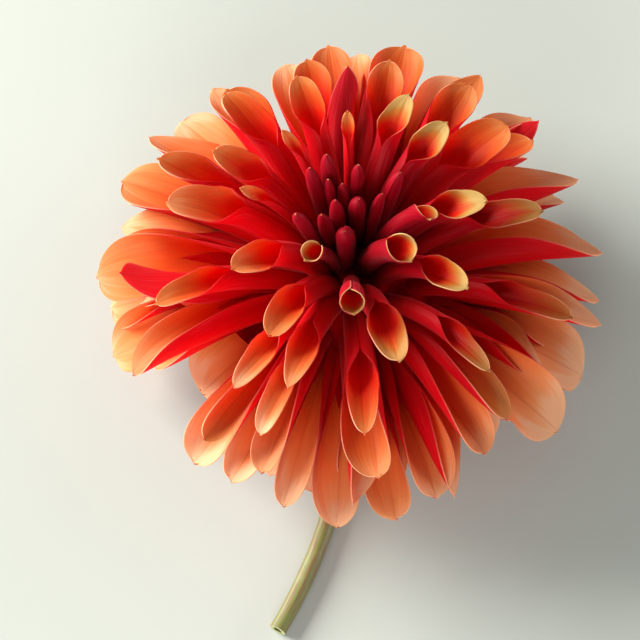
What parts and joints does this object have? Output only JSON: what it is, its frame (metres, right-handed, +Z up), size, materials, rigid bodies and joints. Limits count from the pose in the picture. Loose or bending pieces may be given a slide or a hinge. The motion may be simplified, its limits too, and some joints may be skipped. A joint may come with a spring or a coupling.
{
  "type": "dahlia flower",
  "caption": "Cut dahlia bloom with rolled, spoon-tipped ray florets round a closed heart, on its bracts and a short bent stem that lies on the surface.",
  "frame": {"origin": "on the surface the flower lies on, under the middle of its bounding box", "axes": "+Z up from the surface and roughly along the bloom's axis, which leans 5 degrees towards +Y; +Y the flower's length, away from the stem's cut end; +X across"},
  "size_m": [0.1192, 0.138, 0.071],
  "materials": {
    "florets": "satin petals, crimson outside and orange inside, with pale rims",
    "scales": "thin, dry and papery",
    "green_bracts": "fleshy leaf, dull",
    "stalk": "smooth living stem, slightly waxy"
  },
  "bodies": {
    "root": {"bloom": "florets", "inner_bracts": "scales", "outer_bracts": "green_bracts", "stem": "stalk"}
  },
  "joints": []
}
